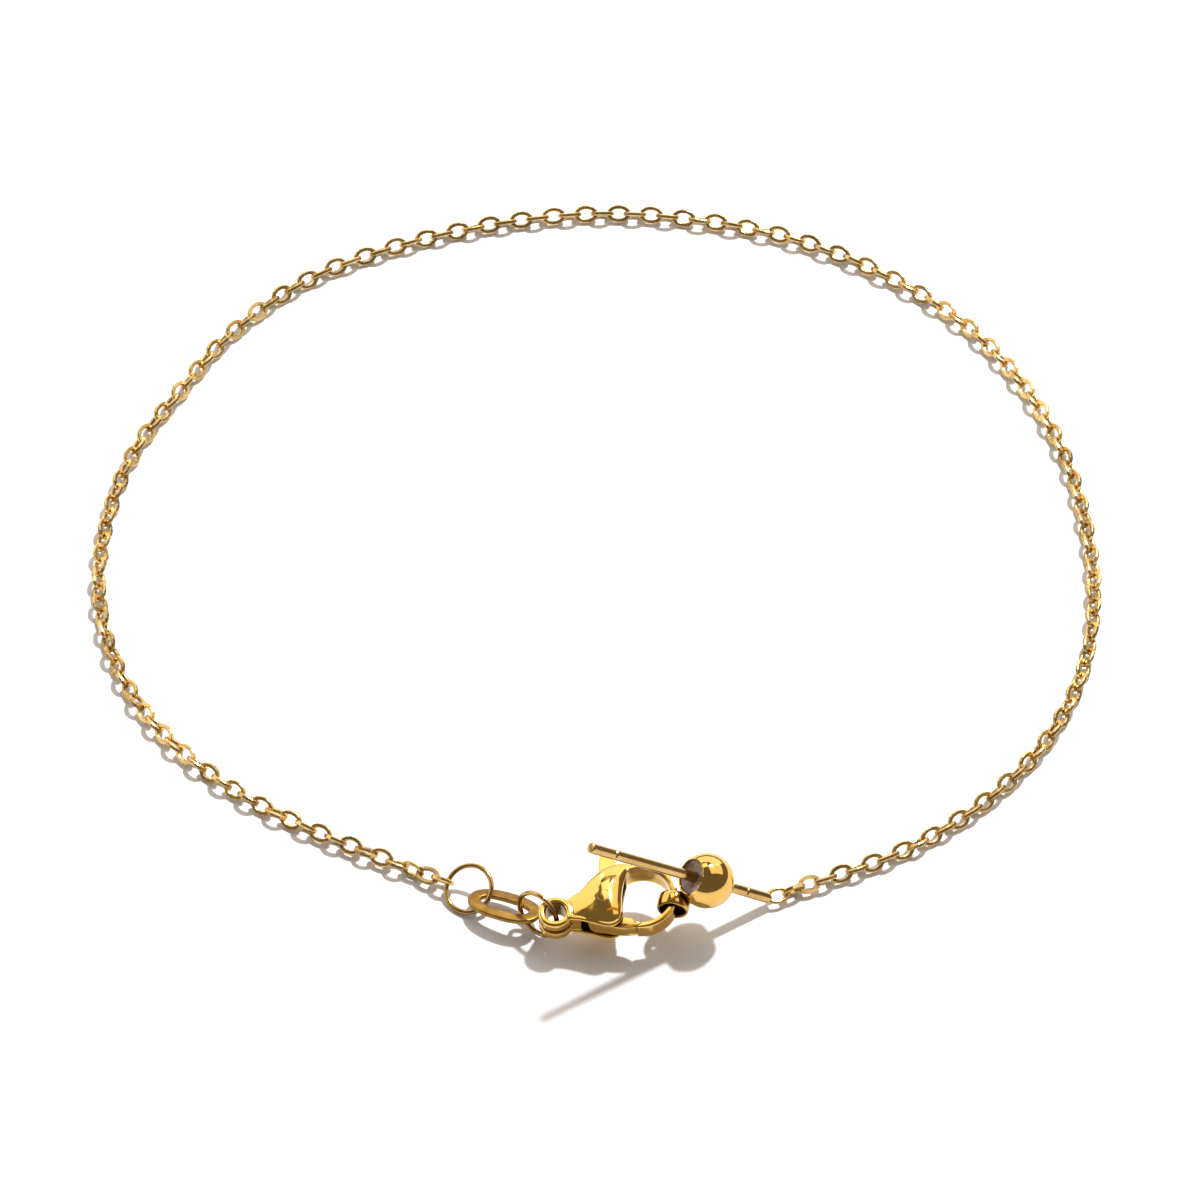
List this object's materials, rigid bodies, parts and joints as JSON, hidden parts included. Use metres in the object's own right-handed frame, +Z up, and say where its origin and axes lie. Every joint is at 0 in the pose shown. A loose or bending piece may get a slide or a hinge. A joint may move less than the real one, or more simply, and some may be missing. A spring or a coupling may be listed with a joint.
{
  "type": "chain bracelet",
  "caption": "Fine gold-tone cable chain bracelet, closed by a small lobster clasp that hooks the bail of a stopper ball on a straight threading pin, with jump rings and a slotted oval tag.",
  "frame": {"origin": "on the table, under the middle of the closed bracelet's bounding box", "axes": "+Z up from the table; -Y towards the clasp at the front of the loop; +X to the right, towards the pin's foot"},
  "size_m": [0.0632, 0.0622, 0.0099],
  "materials": {
    "chain_gold": "bright gold plate on flat-faced links",
    "ring_gold": "bright gold plate on drawn wire",
    "tag_matt_gold": "matt gold plate, lightly brushed",
    "clasp_gold": "polished gold plate",
    "ball_gold": "mirror-polished gold plate",
    "pin_gold": "polished gold plate with fine drawing lines",
    "insert_silicone": "cloudy grey-brown translucent silicone"
  },
  "bodies": {
    "bracelet": {"chain": "chain_gold", "end_ring": "ring_gold", "clasp_ring": "ring_gold", "oval_tag": "tag_matt_gold", "clasp_body": "clasp_gold", "lever_rivet": "clasp_gold", "stopper_ball": "ball_gold", "silicone_insert": "insert_silicone", "threading_pin": "pin_gold"},
    "lever": {"clasp_lever": "clasp_gold"}
  },
  "joints": [
    {"name": "lever_hinge", "type": "hinge", "parent": "bracelet", "child": "lever", "pos_m": [0.00051, -0.02902, 0.0023], "axis": [-0.0439, -0.1491, 0.9879], "range_deg": [0, 24], "stiffness_Nm_per_rad": 0.002}
  ]
}
